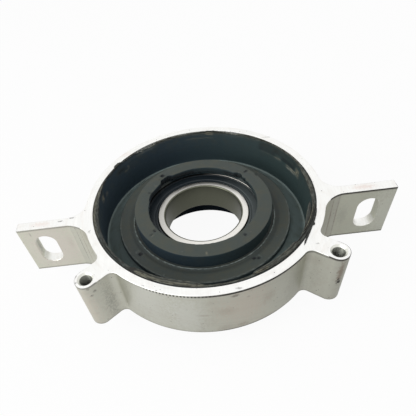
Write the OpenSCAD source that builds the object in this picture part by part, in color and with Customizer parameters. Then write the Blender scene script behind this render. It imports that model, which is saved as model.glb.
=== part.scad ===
// Driveshaft centre bearing: a sealed ball bearing in a rubber cushion, bonded into an aluminium bracket.
// The origin is the bearing's centre on the shaft's axis. +Z runs along the shaft and +X from ear to ear.

/* [Bearing] */
// Bore of the inner ring, the diameter of the shaft
bore_d = 40; // [36:0.5:43]
// Outside diameter of the outer ring
bearing_od = 68; // [65:0.5:71]
// Width of both rings
bearing_w = 15; // [14:0.5:16.5]
// Radial gap between the shoulders of the two rings, as a share of the room from the shaft to the outside
shoulder_share = 0.4286; // [0.3714:0.0001:0.4714]
// Chamfer on the corners of the rings
ring_chamfer = 0.6; // [0.3:0.1:1]
// Diameter of a ball, as a share of the same room
ball_share = 0.567; // [0.514:0.001:0.6]
// Number of balls
ball_count = 12; // [8:1:12]
// Play between a ball and the groove it runs in
ball_play = 0.05; // [0.03:0.01:0.1]

/* [Cage] */
// Thickness of the cage's pressed sheet
cage_t = 0.9; // [0.6:0.1:1]
// Gap between the cage's ribbon and the shoulder of either ring
cage_gap = 1; // [0.8:0.05:1.3]
// Play between a ball and its pocket
pocket_play = 0.1; // [0.05:0.01:0.2]
// Diameter of a rivet's shank
rivet_d = 1.5; // [1:0.1:1.8]
// Diameter of a rivet's head
rivet_head_d = 2.6; // [2.2:0.1:2.8]
// Height of a rivet's head
rivet_head_h = 0.6; // [0.4:0.1:0.9]
// Play between a rivet and its hole
rivet_play = 0.02; // [0.01:0.01:0.05]

/* [Seals] */
// Thickness of a seal's disc
seal_t = 0.9; // [0.7:0.1:1.1]
// Thickness of the bead at a seal's outer edge and of its inner lip
seal_bead = 1.4; // [1.2:0.1:1.6]
// Depth of a seal's face under the face of the rings
seal_inset = 0.4; // [0.2:0.1:0.6]
// Depth of the outer ring's groove that a seal snaps into
seal_seat = 0.7; // [0.4:0.1:0.9]
// Opening left beside the outer ring's shoulder at the mouth of that groove
seal_mouth = 0.25; // [0.1:0.05:0.35]
// Running gap between a seal's lip and the inner ring
seal_play = 0.08; // [0.05:0.01:0.15]

/* [Bearing sleeve] */
// Wall of the steel sleeve around the bearing
sleeve_t = 1.6; // [1.2:0.1:2]
// Reach of the sleeve's foot under the outer ring
sleeve_foot = 2.8; // [1.5:0.1:3.2]

/* [Rubber hub] */
// Rubber around the bearing at the hub's upper lip
hub_wall = 1.3; // [0.8:0.1:1.6]
// Widening of the hub's wall from the lip down to the ledge
hub_draft = 0.1; // [0.1:0.1:0.5]
// Rise of the lip over the bearing's face
lip_rise = 6.7; // [6:0.1:7.5]
// Rise of the lip's top from the hub's wall towards the bore
lip_slope = 0.35; // [0.1:0.05:0.8]
// Reach of the lip over the bearing's face
lip_cover = 6.1; // [5.2:0.1:7]
// Thickness of the lip at its inner edge
lip_t = 3; // [2.2:0.1:3.4]
// Width of the outer ring's face left bare under the lip
bare_w = 0.7; // [0.3:0.1:1]
// Number of notches in the lip's inner edge
notch_count = 2; // [1:1:4]
// Direction of the first notch from +X
notch_turn = 39; // [0:1:60]
// Angle from one notch to the next
notch_step = 91; // [40:1:120]
// Width of a notch along the lip's edge
notch_w = 8; // [4:0.5:9]
// Depth of a notch into the lip
notch_depth = 2.4; // [1:0.1:2.8]
// Rubber under the sleeve's foot
foot_cover = 1.2; // [0.8:0.1:1.6]
// Length of the hub's dust skirt under the bearing's lower face
skirt_drop = 17.3; // [12:0.1:22]
// Step from the sleeve's foot out to the skirt's inner wall
skirt_step = 1.8; // [1.5:0.1:2.4]
// Thickness of the skirt at its lower end
skirt_wall = 3; // [2:0.1:4]
// Rubber around the sleeve where the skirt begins
collar_wall = 2.4; // [1.6:0.1:4]

/* [Rubber web] */
// Drop of the ledge under the bearing's upper face
ledge_drop = 1.4; // [0.8:0.1:2]
// Width of the ledge around the hub
ledge_w = 9.45; // [8:0.05:11]
// Rubber over the upper end of the sleeve
sleeve_cover = 0.9; // [0.6:0.1:1.5]
// Width of the bead around the foot of the hub
bead_w = 0.7; // [0.4:0.1:1]
// Height of that bead over the ledge
bead_h = 0.45; // [0.2:0.05:0.8]
// Gap between the hub's wall and the bead
bead_gap = 0.3; // [0.1:0.1:0.6]
// Height of the step from the web up to the ledge
step_h = 2.3; // [1.5:0.1:3]
// Fall of the web from that step to the foot of the wall
web_fall = 4.9; // [3:0.1:6]
// Thickness of the web, measured along the shaft
web_t = 5.4; // [4:0.1:5.8]
// Thickness of the rubber wall bonded to the housing
wall_t = 2.9; // [2:0.1:4]
// Thickness of that wall at its upper rim, as a share of it
rim_share = 0.52; // [0.45:0.01:0.9]
// Rounding of the rubber's outer edges
edge_round = 0.6; // [0.3:0.1:0.8]
// Rounding of the lip's edges
lip_round = 0.4; // [0.2:0.1:0.6]
// Rounding of the rubber's inner corners
root_round = 1.5; // [0.8:0.1:1.8]

/* [Housing] */
// Diameter of the opening that the rubber is bonded to
opening_d = 111.8; // [108:0.1:116]
// Wall of the ring around it
ring_wall = 4.1; // [3:0.1:6]
// Height of the sawn extrusion
housing_h = 31; // [30.5:0.1:36]
// Depth of the bearing's upper face under the housing's upper face, as a share of the housing's height
depth_share = 0.3645; // [0.3065:0.0005:0.374]
// Height of the rubber's lower faces over the housing's base
base_gap = 0.2; // [0.1:0.1:0.5]

/* [Ears] */
// Distance between the slots of the two ears
slot_spacing = 165; // [158:0.5:180]
// Width of a slot
slot_w = 11; // [8:0.1:12.5]
// Length of a slot along the shaft
slot_l = 19.6; // [14:0.1:24]
// Metal between a slot and the ear's end
ear_margin = 6.2; // [4:0.1:12]
// Thickness of an ear where its face is milled
ear_t = 5.5; // [4:0.1:8]
// Distance of the milled faces in front of the shaft's axis
ear_front = 10.1; // [6:0.1:14]
// Depth of the milling into an ear's face
mill_depth = 0.5; // [0.2:0.1:1]
// Distance of the milled face's end from the ring
mill_gap = 4.5; // [3:0.1:7]
// Fillet between the ring and the front of an ear
front_fillet = 12; // [6:0.5:14]
// Fillet between the ring and the back of an ear
back_fillet = 9; // [4:0.5:12]

/* [Screw bosses] */
// Distance between the two tapped holes
boss_spacing = 111; // [104:0.5:116]
// Distance of the tapped holes in front of the shaft's axis
boss_front = 44.3; // [42:0.1:50]
// Width of a boss and of its arm
boss_w = 10; // [8:0.1:12]
// Diameter of the tapped hole inside its thread
tap_d = 5; // [3:0.1:6]
// Chamfer around the ends of the tapped hole
tap_chamfer = 1.2; // [0.3:0.1:1.3]
// Fillet between an arm and the ring
arm_fillet = 3.5; // [1.5:0.1:5]

/* [Hidden] */
$fn = 96;
// Steps in each rounded corner of a turned outline
arc_steps = 5;
// Overlap that lets a cut pass cleanly through a face
over = 1;
// Depth by which a fillet's circle cuts past tangency, so that its face crosses its neighbours at a clear angle
fillet_bite = 0.02;

ring_room = (bearing_od - bore_d) / 2;
ball_d = ball_share * ring_room;
shoulder_gap = shoulder_share * ring_room;
cage_w = shoulder_gap - 2 * cage_gap;
pitch_r = (bore_d + bearing_od) / 4;
inner_shoulder_r = pitch_r - shoulder_gap / 2;
outer_shoulder_r = pitch_r + shoulder_gap / 2;
groove_r = ball_d / 2 + ball_play;
pocket_r = ball_d / 2 + pocket_play;
cage_in_r = pitch_r - cage_w / 2;
cage_out_r = pitch_r + cage_w / 2;
bearing_r = bearing_od / 2;
face_z = bearing_w / 2;
seal_z = face_z - seal_inset;

bearing_depth = depth_share * housing_h;
top_z = face_z + bearing_depth;
base_z = top_z - housing_h;
mid_z = (top_z + base_z) / 2;
rubber_base_z = base_z + base_gap;
opening_r = opening_d / 2;
ring_r = opening_r + ring_wall;

ledge_z = face_z - ledge_drop;
sleeve_top_z = ledge_z - sleeve_cover;
sleeve_r = bearing_r + sleeve_t;
sleeve_foot_r = bearing_r - sleeve_foot;
hub_r = bearing_r + hub_wall;
hub_foot_r = hub_r + hub_draft;
bead_in_r = hub_foot_r + bead_gap;
ledge_r = hub_r + ledge_w;
collar_r = sleeve_r + collar_wall;
wall_r = opening_r - wall_t;
rim_r = opening_r - rim_share * wall_t;
web_top_z = ledge_z - step_h;
web_foot_z = web_top_z - web_fall;
lip_r = bearing_r - lip_cover;
lip_z = face_z + lip_rise;
bare_r = outer_shoulder_r + seal_mouth + bare_w;
foot_z = -face_z - sleeve_t;
skirt_r = sleeve_foot_r + skirt_step;
skirt_z = -face_z - skirt_drop;

ear_end_x = slot_spacing / 2 + slot_w / 2 + ear_margin;
ear_front_y = -ear_front - mill_depth;
ear_back_y = -ear_front + ear_t;
mill_x = ring_r + mill_gap;
boss_x = boss_spacing / 2;
boss_reach = norm([boss_x, boss_front]);
boss_turn = atan2(-boss_front, boss_x);

function ball_name(i) = str("ball_", i < 10 ? "0" : "", i);
BALLS = [for (i = [1 : ball_count]) ball_name(i)];

// The points that round the corner at p, on the way from a to b, with radius q
function corner(a, p, b, q) =
    q == 0 ? [p] :
    let (u = (a - p) / norm(a - p))
    let (v = (b - p) / norm(b - p))
    let (half = acos(u * v) / 2)
    let (middle = (u + v) / norm(u + v))
    let (centre = p + middle * q / sin(half))
    let (from = p + u * q / tan(half) - centre)
    let (to = p + v * q / tan(half) - centre)
    [for (i = [0 : arc_steps])
        let (s = i / arc_steps)
        let (w = from * (1 - s) + to * s)
        centre + w * q / norm(w)];

// A closed outline of [radius, height, corner radius] with its corners rounded
function rounded(outline) =
    let (n = len(outline))
    let (at = [for (p = outline) [p[0], p[1]]])
    [for (i = [0 : n - 1]) each corner(at[(i + n - 1) % n], at[i], at[(i + 1) % n], outline[i][2])];

// Copies a child to every ball's place, or to the places half way between them
module around_balls(half = 0) {
    for (i = [0 : ball_count - 1])
        rotate(360 * (i + half) / ball_count)
            translate([pitch_r, 0, 0])
                children();
}

// The section of the extrusion, seen along the shaft: ring, ears and arms with their fillets
module housing_section() {
    circle(ring_r);
    for (side = [0, 1])
        mirror([side, 0]) {
            ear_section();
            rotate(boss_turn)
                arm_section();
        }
}

// One ear, with the fillets that join its two faces to the ring
module ear_section() {
    translate([0, ear_front_y])
        square([ear_end_x, ear_back_y - ear_front_y]);
    mirror([0, 1])
        fillet_section(-ear_front_y, front_fillet);
    fillet_section(ear_back_y, back_fillet);
}

// One arm with its round boss, along +X
module arm_section() {
    translate([0, -boss_w / 2])
        square([boss_reach, boss_w]);
    translate([boss_reach, 0])
        circle(boss_w / 2);
    for (side = [0, 1])
        mirror([0, side])
            fillet_section(boss_w / 2, arm_fillet);
}

// The fillet of radius q between the ring and a straight side along +X, above that side at height y
module fillet_section(y, q) {
    centre = [sqrt(pow(ring_r + q, 2) - pow(y + q, 2)), y + q];
    inside = 1 - ring_wall / ring_r / 2;
    difference() {
        polygon([centre, centre * ring_r / (ring_r + q), centre * inside * ring_r / (ring_r + q),
                 [ring_r * inside, y - ear_t / 4], [centre[0], y - ear_t / 4]]);
        translate(centre)
            circle(q + fillet_bite);
    }
}

// A slot through an ear, along Y
module ear_slot() {
    run = (slot_l - slot_w) / 2;
    for (side = [-1, 1])
        translate([slot_spacing / 2, 0, mid_z + side * run])
            rotate([90, 0, 0])
                cylinder(h = 2 * ring_r, d = slot_w, center = true);
    translate([slot_spacing / 2, 0, mid_z])
        cube([slot_w, 2 * ring_r, 2 * run], center = true);
}

// A tapped hole along the shaft, with a chamfer at each end
module tapped_hole() {
    translate([boss_x, -boss_front, base_z - over])
        cylinder(h = housing_h + 2 * over, d = tap_d);
    for (end = [[top_z, 180], [base_z, 0]])
        translate([boss_x, -boss_front, end[0]])
            rotate([end[1], 0, 0])
                cylinder(h = tap_chamfer, r1 = tap_d / 2 + tap_chamfer, r2 = tap_d / 2);
}

module housing_bracket() {
    color("gainsboro")
        difference() {
            translate([0, 0, base_z])
                linear_extrude(housing_h)
                    housing_section();
            translate([0, 0, base_z - over])
                cylinder(h = housing_h + 2 * over, r = opening_r);
            for (side = [0, 1])
                mirror([side, 0, 0]) {
                    ear_slot();
                    tapped_hole();
                    translate([mill_x, -ear_front - ring_r, base_z - over])
                        cube([ring_r, ring_r, housing_h + 2 * over]);
                }
        }
}

// Half section of the rubber, from the rim inwards over the top and back under the bearing
module rubber_section() {
    polygon(rounded([
        [opening_r, top_z, 0],
        [rim_r, top_z, edge_round],
        [wall_r, web_foot_z, root_round],
        [ledge_r, web_top_z, root_round],
        [ledge_r, ledge_z, edge_round],
        [bead_in_r + bead_w, ledge_z, 0],
        [bead_in_r + bead_w, ledge_z + bead_h, 0],
        [bead_in_r, ledge_z + bead_h, 0],
        [bead_in_r, ledge_z, 0],
        [hub_foot_r, ledge_z, 0],
        [hub_r, lip_z - lip_slope, lip_round],
        [lip_r, lip_z, lip_round],
        [lip_r, lip_z - lip_t, lip_round],
        [bare_r, face_z + bare_w, 0],
        [bare_r, face_z, 0],
        [bearing_r, face_z, 0],
        [bearing_r, sleeve_top_z, 0],
        [sleeve_r, sleeve_top_z, 0],
        [sleeve_r, foot_z, 0],
        [sleeve_foot_r, foot_z, 0],
        [sleeve_foot_r, foot_z - foot_cover, lip_round],
        [skirt_r, foot_z - foot_cover, edge_round],
        [skirt_r, skirt_z, edge_round],
        [skirt_r + skirt_wall, skirt_z, edge_round],
        [collar_r, web_top_z - web_t, root_round],
        [ledge_r, web_top_z - web_t, root_round],
        [wall_r, web_foot_z - web_t, root_round],
        [wall_r, rubber_base_z, edge_round],
        [opening_r, rubber_base_z, 0]
    ]));
}

module rubber_cushion() {
    notch_h = lip_t + bare_w;
    color([0.13, 0.15, 0.16])
        difference() {
            rotate_extrude()
                rubber_section();
            for (i = [0 : notch_count - 1])
                rotate(notch_turn + notch_step * i)
                    translate([lip_r - over, -notch_w / 2, lip_z - notch_h])
                        cube([notch_depth + over, notch_w, notch_h + over]);
        }
}

module bearing_sleeve() {
    color("slategray")
        rotate_extrude()
            polygon([[bearing_r, sleeve_top_z], [sleeve_r, sleeve_top_z], [sleeve_r, foot_z],
                     [sleeve_foot_r, foot_z], [sleeve_foot_r, -face_z], [bearing_r, -face_z]]);
}

// The torus swept by a ball's groove
module race_groove() {
    rotate_extrude()
        translate([pitch_r, 0])
            circle(groove_r);
}

// The upper half of the outer ring's section: its shoulder, its seal groove and its outside corner
function outer_half() = [
    [outer_shoulder_r, 0],
    [outer_shoulder_r, seal_z - seal_bead],
    [outer_shoulder_r + seal_seat, seal_z - seal_bead],
    [outer_shoulder_r + seal_seat, seal_z],
    [outer_shoulder_r + seal_mouth, seal_z],
    [outer_shoulder_r + seal_mouth, face_z],
    [bearing_r - ring_chamfer, face_z],
    [bearing_r, face_z - ring_chamfer],
    [bearing_r, 0]
];

module outer_ring() {
    color("silver")
        difference() {
            union()
                for (side = [0, 1])
                    mirror([0, 0, side])
                        rotate_extrude()
                            polygon(outer_half());
            race_groove();
        }
}

module inner_ring() {
    bore_r = bore_d / 2;
    color("whitesmoke")
        difference() {
            rotate_extrude()
                polygon([[bore_r, ring_chamfer - face_z], [bore_r + ring_chamfer, -face_z], [inner_shoulder_r, -face_z],
                         [inner_shoulder_r, face_z], [bore_r + ring_chamfer, face_z], [bore_r, face_z - ring_chamfer]]);
            race_groove();
        }
}

// A seal over the balls: a bead in the outer ring's groove, a thin disc and a lip close to the inner ring
module seal() {
    lip_in_r = inner_shoulder_r + seal_play;
    inner_z = seal_z - seal_bead;
    disc_z = seal_z - seal_t;
    rotate_extrude()
        polygon([[lip_in_r, inner_z], [lip_in_r + seal_t, inner_z], [lip_in_r + 2 * seal_t, disc_z],
                 [outer_shoulder_r - seal_t, disc_z], [outer_shoulder_r, inner_z],
                 [outer_shoulder_r + seal_seat, inner_z], [outer_shoulder_r + seal_seat, seal_z],
                 [lip_in_r + seal_inset, seal_z], [lip_in_r, seal_z - seal_inset]]);
}

module upper_seal() {
    color("darkslategray")
        seal();
}

module lower_seal() {
    color("darkslategray")
        mirror([0, 0, 1])
            seal();
}

// The upper half of the cage: a flat ribbon pressed into a pocket over each ball
module cage_half() {
    difference() {
        intersection() {
            union() {
                cylinder(h = cage_t, r = cage_out_r);
                around_balls()
                    sphere(pocket_r + cage_t);
            }
            difference() {
                cylinder(h = ball_d, r = cage_out_r);
                translate([0, 0, -over])
                    cylinder(h = ball_d + 2 * over, r = cage_in_r);
            }
        }
        around_balls()
            sphere(pocket_r);
        around_balls(0.5)
            translate([0, 0, -over])
                cylinder(h = cage_t + 2 * over, d = rivet_d + 2 * rivet_play);
    }
}

module cage_upper() {
    color("darkgray")
        cage_half();
}

module cage_lower() {
    color("darkgray")
        mirror([0, 0, 1])
            cage_half();
}

// A rivet closed on both faces of the cage, with its head's edge broken by half its height
module cage_rivet() {
    head_r = rivet_head_d / 2;
    edge = rivet_head_h / 2;
    end_z = cage_t + rivet_head_h;
    rotate_extrude()
        polygon([[0, -end_z], [head_r - edge, -end_z], [head_r, edge - end_z], [head_r, -cage_t],
                 [rivet_d / 2, -cage_t], [rivet_d / 2, cage_t],
                 [head_r, cage_t], [head_r, end_z - edge], [head_r - edge, end_z], [0, end_z]]);
}

module cage_rivets() {
    color("dimgray")
        around_balls(0.5)
            cage_rivet();
}

// One ball in its place, counted from 1
module ball(i) {
    color("lightsteelblue")
        rotate(360 * (i - 1) / ball_count)
            translate([pitch_r, 0, 0])
                sphere(d = ball_d);
}

housing_bracket();
rubber_cushion();
bearing_sleeve();
outer_ring();
inner_ring();
upper_seal();
lower_seal();
cage_upper();
cage_lower();
cage_rivets();
for (i = [1 : ball_count])
    ball(i);
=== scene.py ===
# %% [markdown]
# # A driveshaft centre bearing
# The object is a sealed ball bearing in a black rubber cushion, bonded into a short length of aluminium extrusion.
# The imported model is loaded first, as a fixed frame in metres. Every piece below takes its place from it.

# %% Load the frame
import math

import bmesh
import bpy
import numpy as np
from mathutils import Matrix, Vector


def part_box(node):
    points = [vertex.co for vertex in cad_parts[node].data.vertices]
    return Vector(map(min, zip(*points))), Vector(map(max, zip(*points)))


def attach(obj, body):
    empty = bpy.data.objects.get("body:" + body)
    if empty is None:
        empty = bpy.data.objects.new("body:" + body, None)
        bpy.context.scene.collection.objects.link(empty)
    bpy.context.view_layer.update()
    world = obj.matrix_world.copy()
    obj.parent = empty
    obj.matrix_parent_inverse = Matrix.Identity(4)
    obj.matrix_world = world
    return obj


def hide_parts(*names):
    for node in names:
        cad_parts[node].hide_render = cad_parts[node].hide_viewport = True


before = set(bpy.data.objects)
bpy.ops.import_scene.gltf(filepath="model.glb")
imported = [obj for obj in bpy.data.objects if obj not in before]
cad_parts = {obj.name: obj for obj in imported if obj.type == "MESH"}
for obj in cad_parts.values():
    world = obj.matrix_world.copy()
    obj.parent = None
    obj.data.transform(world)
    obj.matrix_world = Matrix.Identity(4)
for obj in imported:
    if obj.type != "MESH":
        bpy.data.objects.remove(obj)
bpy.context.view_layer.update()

MM = 0.001
scene = bpy.context.scene


def linked(name, data):
    """An object with that data, in the scene."""
    thing = bpy.data.objects.new(name, data)
    scene.collection.objects.link(thing)
    return thing


# %% [markdown]
# ## The camera
# The photograph was fitted with a pinhole camera: a place, three angles and a focal length in pixels. Its optical
# axis isn't in the middle of the picture, because the picture was cropped, so the lens is shifted by that much.
# Three unit vectors (right, up, back) are the columns of the camera's matrix, which avoids mixing up Euler angles.

# %% Camera
camera_place = np.array([-3.179, -150.743, 158.469]) * MM
yaw, pitch, roll = -0.061431, 0.868535, 0.159627
picture_px, focal_px, axis_px = 416, 402.981, (185.025, 247.596)

forward = np.array([math.sin(yaw) * math.cos(pitch), math.cos(yaw) * math.cos(pitch), -math.sin(pitch)])
level = np.array([math.cos(yaw), -math.sin(yaw), 0.0])
steep = np.cross(forward, level)
right = math.cos(roll) * level + math.sin(roll) * steep
down = math.cos(roll) * steep - math.sin(roll) * level

camera = linked("camera", bpy.data.cameras.new("camera"))
axes_and_place = np.column_stack([right, -down, -forward, camera_place])
camera.matrix_world = Matrix(np.vstack([axes_and_place, [0, 0, 0, 1]]).tolist())
camera.data.sensor_width = 36.0
camera.data.lens = camera.data.sensor_width * focal_px / picture_px
camera.data.shift_x = 0.5 - axis_px[0] / picture_px
camera.data.shift_y = axis_px[1] / picture_px - 0.5
camera.data.clip_start = 0.005
scene.camera = camera
print("lens %.2f mm" % camera.data.lens)

# %% [markdown]
# ## Helpers for surfaces
# Nearly everything here is a profile carried along a path: a ring is a profile carried round a circle, the bracket is
# one carried round its outline. Both give a grid of points, so one function makes the grid's faces and another fills
# a mesh with whole arrays. A closed mesh has a positive volume when its faces point outwards, and that decides whether
# the faces have to be turned round.

# %% Grids and meshes
def grid_quads(rows, columns, closed_rows=True):
    """The four corners of every cell of a grid. Its columns run right round, and its rows too if they are closed."""
    i = np.arange(rows if closed_rows else rows - 1)[:, None]
    j = np.arange(columns)[None, :]
    below, beside = (i + 1) % rows, (j + 1) % columns
    cells = i * columns + j, below * columns + j, below * columns + beside, i * columns + beside
    return np.stack(cells, -1).reshape(-1, 4)


def volume_of(points, quads):
    """Signed volume: the sum over the faces of the tetrahedra that they make with the origin."""
    a, b, c, d = (points[quads[:, k]] for k in range(4))
    return float((np.cross(a, b) * c + np.cross(a, c) * d).sum() / 6)


def smooth(mesh, sharp_angle):
    """Smooth shading, with edges kept sharp over an angle in degrees."""
    mesh.shade_smooth()
    mesh.set_sharp_from_angle(angle=math.radians(sharp_angle))


def piece_of_quads(name, points, quads, sharp_angle):
    """A closed grid in millimetres becomes an object at the origin in metres, with its faces outwards."""
    points = points.reshape(-1, 3)
    if volume_of(points, quads) < 0:
        quads = quads[:, ::-1]
    mesh = bpy.data.meshes.new(name)
    mesh.vertices.add(len(points))
    mesh.vertices.foreach_set("co", (points * MM).ravel())
    mesh.loops.add(quads.size)
    mesh.loops.foreach_set("vertex_index", quads.ravel())
    mesh.polygons.add(len(quads))
    mesh.polygons.foreach_set("loop_start", np.arange(0, quads.size, 4))
    mesh.update(calc_edges=True)
    mesh.validate()
    smooth(mesh, sharp_angle)
    print("%s: %d faces" % (name, len(mesh.polygons)))
    return linked(name, mesh)


# %% Outlines
def rounded_outline(corners, steps):
    """Each corner (r, z, q) of a closed outline becomes an arc of radius q that touches both of its sides."""
    corners = np.array(corners, float)
    p, q = corners[:, :2], corners[:, 2:]
    u, v = np.roll(p, 1, 0) - p, np.roll(p, -1, 0) - p
    u, v = (w / np.linalg.norm(w, axis=1, keepdims=True) for w in (u, v))
    half = np.arccos(np.clip((u * v).sum(1, keepdims=True), -1, 1)) / 2
    middle = (u + v) / np.maximum(np.linalg.norm(u + v, axis=1, keepdims=True), 1e-9)
    centre = p + middle * q / np.sin(half)
    first, last = p + u * q / np.tan(half) - centre, p + v * q / np.tan(half) - centre
    s = np.linspace(0, 1, steps + 1)[None, :, None]
    spoke = first[:, None] * (1 - s) + last[:, None] * s
    spoke *= q[:, None] / np.maximum(np.linalg.norm(spoke, axis=2, keepdims=True), 1e-9)
    return without_repeats((centre[:, None] + spoke).reshape(-1, 2))


def without_repeats(outline, closest=1e-4):
    """A closed outline without points that lie on the point before them."""
    gap = np.linalg.norm(outline - np.roll(outline, 1, 0), axis=1)
    return outline[gap > closest]


def divided(outline, step):
    """A closed outline with points added along each side, so that none is longer than the side's step."""
    ahead = np.roll(outline, -1, 0) - outline
    parts = np.maximum(1, np.ceil(np.linalg.norm(ahead, axis=1) / step)).astype(int)
    side = np.repeat(np.arange(len(outline)), parts)
    k = np.arange(len(side)) - np.repeat(np.cumsum(parts) - parts, parts)
    return outline[side] + ahead[side] * (k / parts[side])[:, None]


def angles_round(count):
    """That many angles, evenly spaced right round."""
    return np.arange(count) * 2 * math.pi / count


def turned(profile, columns):
    """A profile (r, z) carried round the shaft's axis: (r cos a, r sin a, z) at each angle a."""
    angle = angles_round(columns)
    r, z = profile[:, 0, None], profile[:, 1, None]
    return np.stack([r * np.cos(angle), r * np.sin(angle), z + 0 * angle], -1)


# %% [markdown]
# ## The bracket's outline
# The bracket is sawn from an extrusion, so all its sides follow one outline: a ring, two ears and two screw bosses on
# short arms, joined by fillets. A fillet's circle touches the ring and the straight side, so its centre is at a known
# distance from both, and its two angles follow. The right half is written as arcs and lines, and mirrored.

# %% Sizes of the bracket, in millimetres
housing_low, housing_high = (np.array(c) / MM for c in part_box("housing_bracket"))
base_z, top_z, ear_end = housing_low[2], housing_high[2], housing_high[0]
ring_r, opening_r = housing_high[1], 55.9
ear_front, ear_root, ear_back, mill_from, mill_x = -10.1, -10.6, -4.6, 61.5, 67.2
front_fillet, back_fillet, arm_fillet, ear_corner = 12.0, 9.0, 3.5, 0.4
boss_x, boss_y, boss_r = 55.5, -44.3, 5.0
slot_x, slot_half_w, slot_half_l = 82.5, 5.5, 9.8
mid_z = (base_z + top_z) / 2


# %% The outline
def arc(centre, radius, start, end, step=0.6):
    """Points on a circle from one angle to another: centre + radius (cos a, sin a), a step apart."""
    a = np.linspace(start, end, max(3, int(abs(end - start) * radius / step) + 2))
    return np.array(centre) + radius * np.stack([np.cos(a), np.sin(a)], -1)


def fillet_centre(y, q):
    """The centre, at height y, of a circle of radius q that touches the ring from outside."""
    return np.array([math.sqrt((ring_r + q) ** 2 - y ** 2), y])


def turn(points, angle):
    """Points turned about the axis by an angle."""
    c, s = math.cos(angle), math.sin(angle)
    return np.asarray(points) @ np.array([[c, s], [-s, c]])


def bracket_outline():
    """The closed outline, anticlockwise from the middle of the front: its right half, then that half mirrored."""
    arm, reach = math.atan2(boss_y, boss_x), math.hypot(boss_x, boss_y)
    root = fillet_centre(boss_r + arm_fillet, arm_fillet)
    front = fillet_centre(ear_root - front_fillet, front_fillet)
    back = fillet_centre(ear_back + back_fillet, back_fillet)
    lean, front_turn, back_turn = (math.atan2(y, x) for x, y in (root, front, back))
    quarter = math.pi / 2
    run_out = arc(front, front_fillet, front_turn + math.pi, quarter)
    s = np.clip((run_out[:, 0] - mill_from) / (front[0] - mill_from), 0, 1)
    run_out[:, 1] += (ear_front - ear_root) * s * s * (3 - 2 * s)
    half = np.concatenate([
        arc((0, 0), ring_r, -quarter, arm - lean, 0.2),
        turn(arc((root[0], -root[1]), arm_fillet, math.pi - lean, quarter), arm),
        turn(arc((reach, 0), boss_r, -quarter, quarter), arm),
        turn(arc(root, arm_fillet, -quarter, lean - math.pi), arm),
        arc((0, 0), ring_r, arm + lean, front_turn),
        run_out,
        arc((ear_end - ear_corner, ear_front + ear_corner), ear_corner, -quarter, 0, 0.1),
        arc((ear_end - ear_corner, ear_back - ear_corner), ear_corner, 0, quarter, 0.1),
        arc(back, back_fillet, -quarter, back_turn - math.pi),
        arc((0, 0), ring_r, back_turn, quarter),
    ])
    return without_repeats(np.concatenate([half, half[::-1] * (-1, 1)]))


outline = divided(bracket_outline(), 0.8)
print("outline points:", len(outline))


# %% [markdown]
# ## The bracket's body
# The bracket could be a cube cut by booleans with a bevel on top, but then its edges would be one width all round. Here
# the outline carries a profile instead: a small round, the side, and another round. The round's width varies along the
# top. At the front the saw's teeth left a row of dents just under the edge, 1.53 mm apart as measured in the photo, so
# they are in the mesh and not only in the shading.

# %% Shapes along an angle
def ripple(angle, slowest, fastest, seed):
    """A repeatable waviness of about -1 to 1 round the axis: sine waves of whole counts with seeded phases."""
    count = np.arange(slowest, fastest)
    phase = np.random.default_rng(seed).uniform(0, 2 * math.pi, len(count))
    return np.sin(angle[..., None] * count + phase).sum(-1) / math.sqrt(2 * len(count))


def degrees_from(angle, start=0.0):
    """How many degrees an angle is from a place on the circle, between -180 and 180."""
    return (np.degrees(angle) - start + 180) % 360 - 180


def between(value, low, high, soft):
    """1 from low to high and 0 outside, with soft ends: 1 / (1 + e^x) of the distance past the nearer end."""
    return 1 / (1 + np.exp((np.abs(value - (low + high) / 2) - (high - low) / 2) / soft))


def window(angle, start, end, soft=3.0):
    """1 between two angles in degrees and 0 outside, with soft ends."""
    half = (end - start) / 2
    return between(degrees_from(angle, start + half), -half, half, soft / 4)


# %% The outline carries the edge's profile
edge_w, edge_wave, dish, top_inset = 0.2, 0.3, 0.004, 0.04
tooth_pitch, tooth_phase, tooth_dent, tooth_steepness, tooth_level = 1.53, -1.33, 0.04, 3.0, 0.3
toothed_from, toothed_to = -119, -88
side_drops = np.array([0.25, 0.4, 1.3, 1.5])  # how far each row on the side is under the top edge


def inward(outline):
    """The shift that moves both sides at a point inwards by 1: (m + n) / (1 + m.n) for their unit normals m and n."""
    ahead = np.roll(outline, -1, 0) - outline
    ahead /= np.linalg.norm(ahead, axis=1, keepdims=True)
    n = np.stack([-ahead[:, 1], ahead[:, 0]], -1)
    m = np.roll(n, 1, 0)
    return (m + n) / (1 + (m * n).sum(1, keepdims=True))


def saw_teeth(angle):
    """Marks of the saw's teeth under the front's top edge: the upper parts of a cosine along the ring, steep-sided."""
    wave = np.cos(angle * ring_r * 2 * math.pi / tooth_pitch + tooth_phase)
    return np.clip(tooth_steepness * wave - tooth_level, 0, 1) * window(angle, toothed_from, toothed_to, 4)


def bracket_body(steps=4):
    """Rows down the side, each the outline shifted inwards: a row on the top, a quarter circle that starts a trace
    lower, the straight side, a quarter circle."""
    t = np.linspace(0, math.pi / 2, steps + 1)[:, None]
    angle = np.arctan2(outline[:, 1], outline[:, 0])
    top, base = edge_w * (1 + edge_wave * ripple(angle, 9, 60, 3)), np.full(len(outline), edge_w)
    upper = side_drops[:, None] + 0 * base
    lower = upper[2:0:-1]
    dents = tooth_dent * saw_teeth(angle) * np.array([0, 1, 1, 0])[:, None]
    shift = np.concatenate([[top + top_inset], top * (1 - np.sin(t)), dents, 0 * lower, base * (1 - np.cos(t))])
    height = np.concatenate([[0 * top + top_z], top_z - dish - top * (1 - np.cos(t)), top_z - upper, base_z + lower,
                             base_z + base * (1 - np.sin(t))])
    side = outline + shift[..., None] * inward(outline)
    return np.concatenate([side, height[..., None]], -1)


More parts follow.
